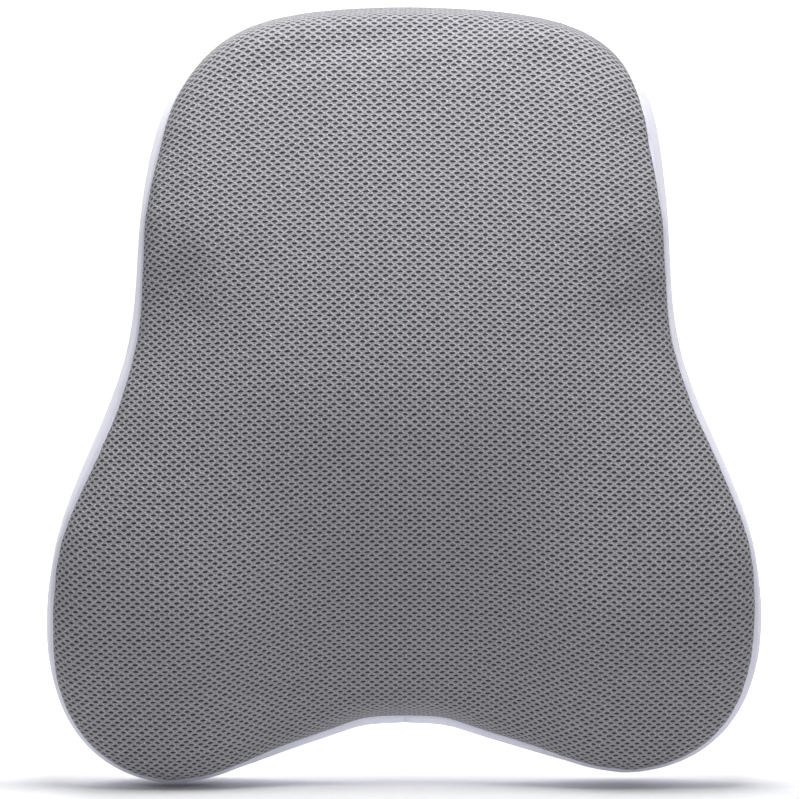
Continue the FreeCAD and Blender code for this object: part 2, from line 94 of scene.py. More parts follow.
# ---------------------------------------------------------------- studio
# A white paper sweep under and behind the cushion, glowing there as painted light, a soft light
# overhead, a weak one in front, one behind for the straps, and an even pale surround.
class Finish:
    """A material being made: its tree, its shader and the coordinates that it reads."""

    def __init__(self, name, colour, roughness, settings=None, uv=False):
        self.material = bpy.data.materials.new(name)
        self.material.use_nodes = True
        self.tree = self.material.node_tree
        self.shader = self.tree.nodes["Principled BSDF"]
        self.shader.inputs["Base Color"].default_value = (*colour, 1.0)
        self.shader.inputs["Roughness"].default_value = roughness
        for socket, value in (settings or {}).items():
            self.shader.inputs[socket].default_value = value
        self.place = self.node("ShaderNodeTexCoord", output="UV" if uv else "Object")

    def node(self, kind, settings=None, sockets=None, output=0):
        """Adds a node, sets it up, fills or links its sockets and gives one of its outputs."""
        made = self.tree.nodes.new(kind)
        for setting, value in (settings or {}).items():
            setattr(made, setting, value)
        for socket, value in (sockets or {}).items():
            if isinstance(value, Shade):
                self.tree.links.new(value.socket, made.inputs[socket])
            else:
                made.inputs[socket].default_value = value
        return Shade(self, made.outputs[output])

    def axes(self):
        """The three parts of the coordinates."""
        return [self.node("ShaderNodeSeparateXYZ", {}, {0: self.place}, axis) for axis in "XYZ"]

    def noise(self, scale, detail=2.0, stretch=(1.0, 1.0, 1.0)):
        """Cloudy noise from 0 to 1, scale cells to the metre before it is stretched."""
        where = self.node("ShaderNodeMapping", {}, {"Vector": self.place, "Scale": stretch})
        sockets = {"Vector": where, "Scale": scale, "Detail": detail}
        return self.node("ShaderNodeTexNoise", {}, sockets, "Fac")

    def mixed(self, share, first, second):
        """A colour between two colours, each a tuple or a Shade."""
        colours = [c if isinstance(c, Shade) else (*c, 1.0) for c in (first, second)]
        sockets = {0: share, 6: colours[0], 7: colours[1]}
        return self.node("ShaderNodeMix", {"data_type": "RGBA"}, sockets, 2)

    def relief(self, height, depth):
        """A normal from a height between 0 and 1 that stands for depth metres."""
        return self.node("ShaderNodeBump", {}, {"Height": height, "Distance": depth})

    def feed(self, **links):
        """Links shader sockets, their spaces written as underscores."""
        for socket, value in links.items():
            self.tree.links.new(value.socket, self.shader.inputs[socket.replace("_", " ")])


class Shade:
    """A shader socket whose arithmetic adds Math nodes to its tree."""

    def __init__(self, finish, socket):
        self.finish = finish
        self.socket = socket

    def math(self, operation, *values):
        sockets = dict(enumerate(values))
        return self.finish.node("ShaderNodeMath", {"operation": operation}, sockets)

    def __add__(self, other):
        return self.math("ADD", self, other)

    __radd__ = __add__

    def __sub__(self, other):
        return self.math("SUBTRACT", self, other)

    def __rsub__(self, other):
        return self.math("SUBTRACT", other, self)

    def __mul__(self, other):
        return self.math("MULTIPLY", self, other)

    __rmul__ = __mul__

    def __truediv__(self, other):
        return self.math("DIVIDE", self, other)

    def __abs__(self):
        return self.math("ABSOLUTE", self)

    def fraction(self):
        return self.math("FRACT", self)

    def larger(self, other):
        return self.math("MAXIMUM", self, other)

    def smaller(self, other):
        return self.math("MINIMUM", self, other)

    def wave(self):
        """A sine made to run from 0 to 1, one turn to the unit."""
        return self.math("SINE", self * math.tau) * 0.5 + 0.5

    def ramp(self, low, high):
        """0 below low, 1 above high, smooth between."""
        sockets = {"Value": self, "From Min": low, "From Max": high}
        return self.finish.node("ShaderNodeMapRange", {"interpolation_type": "SMOOTHSTEP"}, sockets)


def new_object(name, data):
    made = bpy.data.objects.new(name, data)
    bpy.context.scene.collection.objects.link(made)
    return made


def soft_light(name, location, target, size, power):
    data = bpy.data.lights.new(name, "AREA")
    data.shape = "DISK"
    data.size = size
    data.energy = power
    lamp = new_object(name, data)
    lamp.location = location
    lamp.rotation_euler = (Vector(target) - Vector(location)).to_track_quat("-Z", "Y").to_euler()


sweep_half = 4.0
sweep_bend = 1.5
bend_steps = 16
floor_gap = 0.0005
floor_level = cad_box[0].z - floor_gap
sweep_bm = bmesh.new()
bmesh.ops.create_grid(sweep_bm, x_segments=1, y_segments=1, size=sweep_half)
rear = [edge for edge in sweep_bm.edges if all(vert.co.y > 0 for vert in edge.verts)]
bend_centre = (0, sweep_half, sweep_bend)
bent = bmesh.ops.spin(
    sweep_bm, geom=rear, cent=bend_centre, axis=(1, 0, 0), angle=math.pi / 2, steps=bend_steps
)
wall_edge = [item for item in bent["geom_last"] if isinstance(item, bmesh.types.BMEdge)]
wall = bmesh.ops.extrude_edge_only(sweep_bm, edges=wall_edge)
wall_verts = [item for item in wall["geom"] if isinstance(item, bmesh.types.BMVert)]
bmesh.ops.translate(sweep_bm, verts=wall_verts, vec=(0, 0, sweep_half))
bmesh.ops.translate(sweep_bm, verts=sweep_bm.verts, vec=(0, 0, floor_level))
bmesh.ops.recalc_face_normals(sweep_bm, faces=sweep_bm.faces)
sweep_mesh = bpy.data.meshes.new("paper_sweep")
sweep_bm.to_mesh(sweep_mesh)
sweep_bm.free()
sweep_mesh.shade_smooth()
sweep = new_object("paper_sweep", sweep_mesh)
# The paper glows from under the cushion backwards: painted light that hides the shadows there.
painted_paper_glow = 0.7
painted_glow_reach = (-0.06, 0.03)
white_reach = (-0.3, -0.12)
paper = Finish("white_paper", (0.9, 0.9, 0.9), 0.9, {"Emission Strength": painted_paper_glow})
paper_depth = paper.axes()[1]
painted_glow_behind = paper_depth.ramp(*painted_glow_reach)
paper_grain = paper.mixed(paper.noise(60.0), (0.88, 0.88, 0.885), (0.92, 0.92, 0.92))
paper.feed(
    Base_Color=paper.mixed(paper_depth.ramp(*white_reach), (0.62, 0.62, 0.63), paper_grain),
    Emission_Color=paper.mixed(painted_glow_behind, (0.0, 0.0, 0.0), (1.0, 1.0, 1.0)),
)
sweep_mesh.materials.append(paper.material)

soft_light("overhead", (0.05, -0.38, 0.69), (0.0, -0.06, 0.05), 0.5, 7.8)
soft_light("rear", (-0.5, 1.5, 0.9), (0.0, 0.0, 0.0), 0.7, 9.0)
soft_light("front_fill", (0.2, -2.4, 0.6), (0.0, -0.06, 0.0), 1.6, 2.5)

surround = bpy.data.worlds.new("surround")
surround.use_nodes = True
surround.node_tree.nodes["Background"].inputs["Color"].default_value = (0.97, 0.98, 1.0, 1.0)
surround.node_tree.nodes["Background"].inputs["Strength"].default_value = 0.32
bpy.context.scene.world = surround
bpy.context.scene.view_settings.view_transform = "Standard"

# ---------------------------------------------------------------- the stuffed cover
# The foam inside is moulded to the cushion's shape and fills the sewn cover tightly. The cover
# is one closed skin here: remeshed, eased at its edges, puffed out by a cloth simulation, and
# then cut along its seams into the panels that the next sections finish.
cover_nodes = ("front_panel", "gusset_left", "gusset_right", "back_panel_upper", "back_panel_lower")
remesh_size = 0.004
edge_easing = 16
puff_limit = 0.0025
puff_pressure = 4.0
puff_frames = 20
puff_share = np.array([0.2, 1.0, 0.2])
forward_from = -0.018
forward_depth = 0.09
waist_fullness = 0.004
waist_half = 0.14
waist_inner = 0.55
waist_foot = (-0.125, 0.06)
waist_head = (0.135, 0.05)
foot_lift = 0.003
foot_top = (-0.12, 0.06)
foot_from_middle = 0.08
face_from = (-0.05, 0.02)
hand_of_the_maker = [
    ((0.115, -0.205), 0.05, -0.0035),
    ((0.15, -0.19), 0.06, -0.004),
    ((-0.125, 0.165), 0.045, -0.0035),
    ((0.115, 0.18), 0.045, 0.0025),
    ((-0.14, 0.1), 0.07, -0.0012),
    ((0.14, 0.08), 0.08, -0.0022),
]
front_hollows = [
    ((-0.135, 0.025), 0.045, 0.009),
    ((0.135, 0.025), 0.045, 0.009),
    ((-0.108, 0.092), 0.038, -0.004),
    ((0.112, 0.092), 0.038, -0.004),
    ((-0.155, -0.062), 0.04, -0.003),
    ((0.155, -0.066), 0.04, -0.003),
    ((0.073, 0.172), 0.012, 0.0015),
]
crown_fold_ends = (-0.085, 0.065)
crown_fold_low = 0.160
crown_fold_rise = 0.033
crown_fold_reach = 0.006
crown_fold_fade = 0.15
crown_fold_depth = 0.0016


def merged_copy(name, *cad_nodes):
    """A new mesh of these CAD nodes, with the loose triangles' shared corners joined."""
    bm = bmesh.new()
    for cad_node in cad_nodes:
        bm.from_mesh(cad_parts[cad_node].data)
    bmesh.ops.remove_doubles(bm, verts=bm.verts, dist=1e-5)
    mesh = bpy.data.meshes.new(name)
    bm.to_mesh(mesh)
    bm.free()
    return mesh


def after_modifier(mesh, kind, **settings):
    """A new mesh, as one modifier leaves this one."""
    holder = new_object("holder", mesh)
    modifier = holder.modifiers.new(kind, kind)
    for setting, value in settings.items():
        setattr(modifier, setting, value)
    graph = bpy.context.evaluated_depsgraph_get()
    result = bpy.data.meshes.new_from_object(holder.evaluated_get(graph))
    bpy.data.objects.remove(holder)
    return result


def read_points(mesh):
    flat = np.empty(len(mesh.vertices) * 3, np.float32)
    mesh.vertices.foreach_get("co", flat)
    return flat.reshape(-1, 3).astype(float)


def read_normals(mesh):
    flat = np.empty(len(mesh.vertices) * 3, np.float32)
    mesh.vertex_normals.foreach_get("vector", flat)
    return flat.reshape(-1, 3).astype(float)


def write_points(mesh, points):
    mesh.vertices.foreach_set("co", points.astype(np.float32).ravel())
    mesh.update()


def ease(mesh, passes):
    """Softens the mesh's edges."""
    bm = bmesh.new()
    bm.from_mesh(mesh)
    every = {"use_axis_x": True, "use_axis_y": True, "use_axis_z": True}
    for easing in range(passes):
        bmesh.ops.smooth_vert(bm, verts=bm.verts, factor=0.5, **every)
    bm.to_mesh(mesh)
    bm.free()


def puffed(mesh):
    """Where the skin's points go when it is blown out a little, held to puff_limit."""
    start = read_points(mesh)
    holder = new_object("puff", mesh)
    cloth = holder.modifiers.new("Cloth", "CLOTH")
    cloth.settings.use_pressure = True
    cloth.settings.uniform_pressure_force = puff_pressure
    cloth.settings.effector_weights.gravity = 0.0
    cloth.point_cache.frame_start = 1
    cloth.point_cache.frame_end = puff_frames
    for step in range(1, puff_frames + 1):
        bpy.context.scene.frame_set(step)
    graph = bpy.context.evaluated_depsgraph_get()
    blown = bpy.data.meshes.new_from_object(holder.evaluated_get(graph))
    moved = read_points(blown) - start
    bpy.data.objects.remove(holder)
    bpy.context.scene.frame_set(1)
    far = np.linalg.norm(moved, axis=1, keepdims=True)
    return start + moved * np.minimum(1.0, puff_limit / np.maximum(far, 1e-9)) * puff_share


def fitted(points):
    """The points drawn out along each axis to fill the box of the cover's CAD nodes."""
    corners = np.array([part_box(cad_node) for cad_node in cover_nodes])
    low, high = corners[:, 0].min(axis=0), corners[:, 1].max(axis=0)
    now_low, now_high = points.min(axis=0), points.max(axis=0)
    return low + (points - now_low) * (high - low) / (now_high - now_low)


def rise(value):
    """0 up to 0, 1 from 1 on, smooth between."""
    t = np.clip(value, 0.0, 1.0)
    return t * t * (3.0 - 2.0 * t)


def bump(distance, reach):
    """1 at the middle, fading smoothly to nothing at about twice reach."""
    return np.exp(-((distance / reach) ** 2))


def settled(points):
    """The skin as the foam really fills it: fuller at the front of the waist, and not quite even."""
    x, y, z = points.T
    forward = np.clip((forward_from - y) / forward_depth, 0.0, 1.0)
    waist = rise((z - waist_foot[0]) / waist_foot[1]) * rise((waist_head[0] - z) / waist_head[1])
    side = rise((np.abs(x) / waist_half - waist_inner) / (1.0 - waist_inner))
    out = points.copy()
    out[:, 0] += np.sign(x) * waist_fullness * waist * forward * side
    low_down = rise((foot_top[0] - z) / foot_top[1])
    out[:, 2] += foot_lift * forward * low_down * rise(np.abs(x) / foot_from_middle)
    for (at_x, at_z), reach, push in hand_of_the_maker:
        amount = push * bump(np.hypot(x - at_x, z - at_z), reach)
        outward = np.stack([x, np.zeros_like(x), z], axis=1)
        outward /= np.maximum(np.linalg.norm(outward, axis=1, keepdims=True), 1e-6)
        out += outward * amount[:, None]
    facing = rise((face_from[0] - y) / face_from[1])
    along_fold = (x - crown_fold_ends[0]) / (crown_fold_ends[1] - crown_fold_ends[0])
    fold_z = crown_fold_low + crown_fold_rise * np.sqrt(np.clip(along_fold, 0.0, 1.0))
    fold_starts = rise((along_fold + crown_fold_fade) / (2 * crown_fold_fade))
    fold_ends = fold_starts * rise((1.0 + crown_fold_fade - along_fold) / (2 * crown_fold_fade))
    out[:, 1] += crown_fold_depth * facing * fold_ends * bump(z - fold_z, crown_fold_reach)
    for (at_x, at_z), reach, depth in front_hollows:
        out[:, 1] += depth * facing * bump(np.hypot(x - at_x, z - at_z), reach)
    return out


skin = after_modifier(
    merged_copy("skin", *cover_nodes, "foam_core"), "REMESH", mode="VOXEL", voxel_size=remesh_size
)
ease(skin, edge_easing)
unstuffed = read_points(skin)
write_points(skin, puffed(skin))
ease(skin, 1)
write_points(skin, settled(fitted(read_points(skin))))
coarse_skin = skin.copy()

# ---------------------------------------------------------------- seams
# The mesh front is sewn to the gusset just behind the front edge, and far back over the crown.
# The gusset is sewn to the back cloth near the back face, and its two halves meet at the top and
# the bottom. A line of locked stitches pulls each seam in a little.
front_seam_shifts = [
    ((0.0, -0.18), 0.055, -0.022),
    ((-0.135, 0.10), 0.05, -0.006),
    ((-0.135, 0.03), 0.04, -0.002),
    ((-0.16, -0.03), 0.03, 0.001),
    ((-0.175, -0.06), 0.03, -0.002),
    ((-0.185, -0.12), 0.05, -0.0018),
    ((0.14, 0.06), 0.055, -0.0055),
    ((0.15, -0.01), 0.05, -0.0035),
    ((0.165, -0.06), 0.05, -0.003),
    ((0.18, -0.15), 0.03, 0.0015),
    ((0.115, 0.17), 0.028, 0.013),
    ((-0.11, 0.175), 0.025, 0.013),
]
seam_snap = 0.25
plane_snap = 0.00002
seamless_back = -0.03
front_seam_pull = 0.0012
front_seam_reach = 0.0022
back_seam_pull = 0.0009
back_seam_reach = 0.0016
butt_seam_pull = 0.0005
butt_seam_reach = 0.0018
back_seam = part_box("back_panel_upper")[0].y
zip_level = (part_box("zip_coil_upper")[0].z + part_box("zip_coil_lower")[1].z) / 2
slot_beyond_edge = 0.0064
slot_short_of_tape = 0.004
slot_half_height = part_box("back_panel_upper")[0].z - zip_level + slot_beyond_edge
slot_half_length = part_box("zip_tape_upper")[1].x - slot_short_of_tape


def search_tree(cad_node):
    mesh = merged_copy("search", cad_node)
    tree = BVHTree.FromPolygons([v.co for v in mesh.vertices], [p.vertices for p in mesh.polygons])
    bpy.data.meshes.remove(mesh)
    return tree


front_tree = search_tree("front_panel")
gusset_trees = [search_tree("gusset_left"), search_tree("gusset_right")]


def past_front_seam(point):
    """Distance along the unstuffed skin from the front seam: below 0 on the mesh front's side."""
    point = Vector(point)
    to_front = front_tree.find_nearest(point)[3]
    to_gusset = min(tree.find_nearest(point)[3] for tree in gusset_trees)
    square = to_front**2 - to_gusset**2
    distance = math.copysign(math.sqrt(abs(square)), square)
    if point.y > seamless_back:
        distance = abs(distance)
    for (at_x, at_z), reach, shift in front_seam_shifts:
        distance += shift * math.exp(-((point.x - at_x) ** 2 + (point.z - at_z) ** 2) / reach**2)
    return distance


skin.attributes.new("past_seam", "FLOAT", "POINT")
seam_levels = [past_front_seam(point) for point in unstuffed]
skin.attributes["past_seam"].data.foreach_set("value", seam_levels)
skin = after_modifier(skin, "SUBSURF", levels=1, render_levels=1)
seam_bm = bmesh.new()
seam_bm.from_mesh(skin)
panel_of = seam_bm.faces.layers.int.new("panel")
past_seam = seam_bm.verts.layers.float["past_seam"]
front, band, back, slot = range(4)


def faces_of(kind):
    return [face for face in seam_bm.faces if face[panel_of] == kind]


def cut_faces(faces, where, normal):
    """Cuts these faces along a plane."""
    edges = {edge for face in faces for edge in face.edges}
    verts = {vert for face in faces for vert in face.verts}
    geom = [*verts, *edges, *faces]
    bmesh.ops.bisect_plane(seam_bm, geom=geom, dist=plane_snap, plane_co=where, plane_no=normal)


def middle(face):
    return face.calc_center_median()


seam_distance = {vert: vert[past_seam] for vert in seam_bm.verts}
near_seam = []
for edge in seam_bm.edges:
    if min(abs(seam_distance[vert]) for vert in edge.verts) < 2 * front_seam_reach:
        near_seam.append(edge)
bmesh.ops.subdivide_edges(seam_bm, edges=near_seam, cuts=1, use_grid_fill=True)
seam_distance = {vert: vert[past_seam] for vert in seam_bm.verts}
on_seam = []
for drawn_in in (True, False):
    for edge in list(seam_bm.edges):
        first, second = edge.verts
        if seam_distance[first] * seam_distance[second] >= 0:
            continue
        share = seam_distance[first] / (seam_distance[first] - seam_distance[second])
        if drawn_in and min(share, 1.0 - share) > seam_snap:
            continue
        if drawn_in:
            seam_vert = first if share < 0.5 else second
            seam_vert.co = first.co.lerp(second.co, share)
        else:
            seam_vert = bmesh.utils.edge_split(edge, first, share)[1]
        seam_distance[seam_vert] = 0.0
        on_seam.append(seam_vert)
bmesh.ops.connect_verts(seam_bm, verts=on_seam)

for face in seam_bm.faces:
    face[panel_of] = front if sum(seam_distance[vert] for vert in face.verts) < 0 else band
cut_faces(faces_of(band), (0, back_seam, 0), (0, 1, 0))
for face in faces_of(band):
    if middle(face).y > back_seam:
        face[panel_of] = back
cut_faces(faces_of(band), (0, 0, 0), (1, 0, 0))
for side in (-1, 0, 1):
    cut_faces(faces_of(back), (0, 0, zip_level + side * slot_half_height), (0, 0, 1))
for side in (-1, 1):
    in_line = [f for f in faces_of(back) if abs(middle(f).z - zip_level) < slot_half_height]
    cut_faces(in_line, (side * slot_half_length, 0, 0), (1, 0, 0))
for face in faces_of(back):
    low = abs(middle(face).z - zip_level) < slot_half_height
    if low and abs(middle(face).x) < slot_half_length:
        face[panel_of] = slot

seam_bm.normal_update()
in_gusset = {vert for face in faces_of(band) for vert in face.verts}
pulls = {}
for vert in seam_bm.verts:
    x, y, z = vert.co
    pull = front_seam_pull * bump(seam_distance.get(vert, 1.0), front_seam_reach)
    pull = max(pull, back_seam_pull * bump(y - back_seam, back_seam_reach))
    if vert in in_gusset:
        pull = max(pull, butt_seam_pull * bump(x, butt_seam_reach))
    pulls[vert] = vert.normal * float(pull)
for vert, pull in pulls.items():
    vert.co -= pull

panel_test = {
    "front_panel": lambda face: face[panel_of] == front,
    "gusset_left": lambda face: face[panel_of] == band and middle(face).x < 0,
    "gusset_right": lambda face: face[panel_of] == band and middle(face).x > 0,
    "back_panel_upper": lambda face: face[panel_of] == back and middle(face).z > zip_level,
    "back_panel_lower": lambda face: face[panel_of] == back and middle(face).z < zip_level,
}


def panel(cad_node, name, thickness):
    """One sewn panel of the skin, as thick as its cloth, standing for its CAD node."""
    seam_bm.faces.index_update()
    kept = {face.index for face in seam_bm.faces if panel_test[cad_node](face)}
    bm = seam_bm.copy()
    bm.faces.index_update()
    others = [face for face in bm.faces if face.index not in kept]
    bmesh.ops.delete(bm, geom=others, context="FACES")
    mesh = bpy.data.meshes.new(name)
    bm.to_mesh(mesh)
    bm.free()
    mesh.attributes.remove(mesh.attributes["past_seam"])
    mesh.shade_smooth()
    made = new_object(name, mesh)
    cloth = made.modifiers.new("cloth", "SOLIDIFY")
    cloth.thickness = thickness
    cloth.offset = -1.0
    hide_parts(cad_node)
    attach(made, "cushion")
    return made


# ---------------------------------------------------------------- mesh front
# One piece of grey spacer mesh: two knitted faces held apart by standing yarns. Rows of small
# slits, each row half a stitch along from the last, leave a net of slanting yarns between them.
# Ridges and slit lips are painted lighter as painted highlights; slits are painted near black as shade.
mesh_cloth_thickness = 0.0035
uv_passes = 4
level_half_width = 0.08
stitch_width = 0.00465
stitch_height = 0.00366
slit_half_width = 0.00138
slit_half_height = 0.00074
yarn_tone = (0.305, 0.302, 0.325)
# The lower yarn tone is painted shade off the ridges, and the bright one is a painted highlight.
yarn_shaded_tone = (0.25, 0.247, 0.268)
yarn_highlight_tone = (0.66, 0.66, 0.68)
# The slits' near black is painted shade inside them.
slit_shade_tone = (0.03, 0.03, 0.034)
strand_pitch = (0.00042, 0.00036)


def laid_flat(piece):
    """Gives the piece a UV map: its surface flattened, in metres, in line with X and Z."""
    for other in bpy.context.selected_objects:
        other.select_set(False)
    bpy.context.view_layer.objects.active = piece
    piece.select_set(True)
    bpy.ops.object.mode_set(mode="EDIT")
    bpy.ops.mesh.select_all(action="SELECT")
    bpy.ops.uv.unwrap(method="MINIMUM_STRETCH", iterations=uv_passes, margin=0.0)
    bpy.ops.object.mode_set(mode="OBJECT")
    mesh = piece.data
    corner_verts = np.empty(len(mesh.loops), np.int32)
    mesh.loops.foreach_get("vertex_index", corner_verts)
    flat = np.empty(len(mesh.loops) * 2, np.float32)
    mesh.uv_layers.active.data.foreach_get("uv", flat)
    uv = flat[0::2] + 1j * flat[1::2]
    points = read_points(mesh)[corner_verts]
    target = points[:, 0] + 1j * points[:, 2]
    core = np.abs(points[:, 0]) < level_half_width
    least = math.inf
    for turned in (uv, uv.conj()):
        off = turned - turned[core].mean()
        goal = target[core] - target[core].mean()
        fit = (goal * off[core].conj()).sum() / (abs(off[core]) ** 2).sum()
        error = abs(goal - fit * off[core]).mean()
        if error < least:
            least = error
            laid = off * fit + target[core].mean()
    flat[0::2] = laid.real
    flat[1::2] = laid.imag
    mesh.uv_layers.active.data.foreach_set("uv", flat)


mesh_front = panel("front_panel", "mesh_front", mesh_cloth_thickness)
laid_flat(mesh_front)
mesh_knit = Finish("grey_spacer_mesh", yarn_tone, 0.78, {"Sheen Weight": 0.15}, uv=True)
across, up, spare_axis = mesh_knit.axes()
wander = mesh_knit.noise(90.0, 2.0) - 0.5
unevenness = mesh_knit.noise(330.0, 1.0) - 0.5
column = across / stitch_width + wander * 0.10 + unevenness * 0.22
row = up / stitch_height + wander * 0.08 + unevenness * 0.2
off_x = column.fraction() - 0.5
off_y = row.fraction() - 0.5
size_x = abs(off_x) * stitch_width
size_y = off_y * stitch_height
other_x = (0.5 - abs(off_x)) * stitch_width
other_y = ((row + 0.5).fraction() - 0.5) * stitch_height


def from_slit(half_x, part_y):
    """Under 1 in a lens-shaped slit with a flat foot and an arched top, and more outside it."""
    wide = half_x / slit_half_width
    high = part_y.larger(part_y * -1.6) / slit_half_height
    return wide * wide + high * high


away = from_slit(size_x, size_y).smaller(from_slit(other_x, other_y))
opening = mesh_knit.noise(420.0, 0.0) * 0.7 + 0.65
slit = 1.0 - (away * opening).ramp(0.3, 1.2)
# The lip is a raised rim in the relief, and also the mask of a painted highlight.
lip_and_highlight = away.ramp(0.9, 1.5) * (1.0 - away.ramp(1.6, 3.0))
slant_up = abs(off_x) * 2.0 + abs(off_y) * 2.0
ridge = 1.0 - abs(1.0 - slant_up).ramp(0.05, 0.3)
speckle = mesh_knit.noise(900.0, 1.0).ramp(0.35, 0.7)
strand = (across / strand_pitch[0]).wave() * 0.5 + (up / strand_pitch[1]).wave() * 0.5
cloud = mesh_knit.noise(14.0, 3.0)
# Painted shade off the ridges and painted highlights round the slits' lips, not the yarn's own colour.
yarn = mesh_knit.mixed(ridge, yarn_shaded_tone, yarn_tone)
yarn = mesh_knit.mixed(lip_and_highlight * (ridge * 0.6 + 0.3) * (speckle * 0.8 + 0.2), yarn, yarn_highlight_tone)
yarn = mesh_knit.mixed(strand * 0.2, yarn, (0.2, 0.2, 0.21))
yarn = mesh_knit.mixed(cloud.ramp(0.35, 0.75) * 0.1, yarn, (0.42, 0.42, 0.44))
height = ridge * 0.3 + lip_and_highlight * 0.3 + strand * 0.1 - slit * 0.6 + 0.5
# The slits are painted near black over the yarn, as painted shade.
mesh_knit.feed(
    Base_Color=mesh_knit.mixed(slit, yarn, slit_shade_tone),
    Roughness=0.72 + slit * 0.2,
    Normal=mesh_knit.relief(height, 0.0007),
)
mesh_front.data.materials.append(mesh_knit.material)

# ---------------------------------------------------------------- gusset
# The band round the side: a smooth white warp knit bonded to thin foam, faintly lavender. It is
# cut in two halves that are butt-seamed at the middle of the crown and of the arch.
gusset_thickness = 0.0035
knit_pitch = (0.0009, 0.0011)
for side in ("left", "right"):
    side_band = panel("gusset_" + side, "side_band_" + side, gusset_thickness)
    knit = Finish("white_knit_" + side, (0.68, 0.68, 0.80), 0.62, {"Sheen Weight": 0.3})
    x, y, z = knit.axes()
    around = (z / knit_pitch[1]).wave() * (y / knit_pitch[0]).wave()
    soil = knit.noise(22.0, 4.0).ramp(0.4, 0.8)
    tone = knit.mixed(soil * 0.35, (0.71, 0.71, 0.83), (0.64, 0.64, 0.76))
    knit.feed(
        Base_Color=knit.mixed(around * 0.12, tone, (0.56, 0.56, 0.67)),
        Roughness=0.56 + knit.noise(300.0) * 0.16,
        Normal=knit.relief(around * 0.5 + knit.noise(420.0) * 0.5, 0.00012),
    )
    side_band.data.materials.append(knit.material)

# ---------------------------------------------------------------- back cloth
# Plain grey warp-knit tricot in two pieces that part at the zip. Each has its edge turned in and
# topstitched along the zip, and is sewn to the gusset all round.
back_cloth_thickness = 0.002
wale_pitch = 0.0013
course_pitch = 0.0010
tricot = Finish("back_tricot", (0.16, 0.16, 0.17), 0.85, {"Sheen Weight": 0.2})
x, y, z = tricot.axes()
wale = (x / wale_pitch).wave()
course = (z / course_pitch + wale * 0.35).wave()
loops = wale * course
pill = tricot.noise(30.0, 3.0).ramp(0.45, 0.8)
cloth_tone = tricot.mixed(pill * 0.4, (0.155, 0.155, 0.165), (0.21, 0.21, 0.22))
tricot.feed(
    Base_Color=tricot.mixed(loops, (0.085, 0.085, 0.092), cloth_tone),
    Roughness=0.8 + pill * 0.12,
    Normal=tricot.relief(loops, 0.0004),
)
for place in ("upper", "lower"):
    back_piece = panel("back_panel_" + place, "back_cloth_" + place, back_cloth_thickness)
    back_piece.data.materials.append(tricot.material)
cover_tree = BVHTree.FromBMesh(seam_bm)
seam_bm.free()

# ---------------------------------------------------------------- foam and liner
# A block of slow polyurethane foam, moulded in one piece with a skin from the mould, in a thin
# white jersey sock that keeps the cover from dragging on it.
foam_inset = 0.0047
liner_inset = 0.0038
liner_thickness = 0.0006
foam_cells = 1400.0
jersey_pitch = (0.0009, 0.0007)
foam_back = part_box("foam_core")[1].y
liner_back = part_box("inner_liner")[1].y


def inner_copy(name, inset, back):
    """The skin drawn in all round, and held flat behind at back."""
    mesh = coarse_skin.copy()
    points = read_points(mesh) - inset * read_normals(mesh)
    points[:, 1] = np.minimum(points[:, 1], back)
    write_points(mesh, points)
    mesh.name = name
    mesh.shade_smooth()
    return new_object(name, mesh)


foam = inner_copy("foam_block", foam_inset, foam_back)
foam_finish = Finish("moulded_foam", (0.86, 0.8, 0.62), 0.9)
cell_sockets = {"Vector": foam_finish.place, "Scale": foam_cells}
cells = foam_finish.node("ShaderNodeTexVoronoi", {}, cell_sockets)
yellowing = foam_finish.noise(12.0, 3.0)
foam_finish.feed(
    Base_Color=foam_finish.mixed(yellowing, (0.88, 0.83, 0.67), (0.82, 0.74, 0.54)),
    Roughness=0.86 + yellowing * 0.1,
    Normal=foam_finish.relief(cells, 0.0003),
)
foam.data.materials.append(foam_finish.material)
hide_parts("foam_core")
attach(foam, "cushion")

liner = inner_copy("liner_sock", liner_inset, liner_back)
sock = liner.modifiers.new("cloth", "SOLIDIFY")
sock.thickness = liner_thickness
sock.offset = -1.0
jersey = Finish("liner_jersey", (0.86, 0.86, 0.85), 0.85)
x, y, z = jersey.axes()
jersey_loops = (x / jersey_pitch[0]).wave() * (z / jersey_pitch[1]).wave()
jersey.feed(
    Base_Color=jersey.mixed(jersey_loops, (0.72, 0.72, 0.71), (0.88, 0.88, 0.87)),
    Roughness=0.82 + jersey_loops * 0.1,
    Normal=jersey.relief(jersey_loops, 0.0002),
)
liner.data.materials.append(jersey.material)
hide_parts("inner_liner")
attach(liner, "cushion")

# ---------------------------------------------------------------- straps
# Black elastic webbing, woven in ribs along its length. Each strap is a short length sewn round
# the socket's bar, and a long one that turns round the plug's bar and comes back to the slide.
webbing_width = 0.025
webbing_thickness = 0.0012
webbing_edge = 0.0004
webbing_rows = 0.003
row_rounding = 0.4
webbing_picks = 8
rib_pitch = 0.0016
pick_pitch = 0.0011
half_beyond_box = 0.00427
anchor_inset = 0.007
anchor_depth = 0.006
bow_inset = 0.004
bow_height = 0.012
run_inset = 0.024
anchor_radii = (0.011, 0.020)
bar_radius = 0.00225
slide_radius = 0.0016
lap_radius = 0.004
arc_steps = 8
outer_line = 0.030
inner_line = 0.0255
lap_line = 0.0287
socket_bar = -0.03475
lap_start = -0.043
lap_meets = -0.049
lap_end = -0.075
plug_bar = 0.02255
plug_clear = 0.028
slide_far = 0.04815
slide_near = 0.04015
loop_bend_from = 0.003
loop_bend_to = -0.002


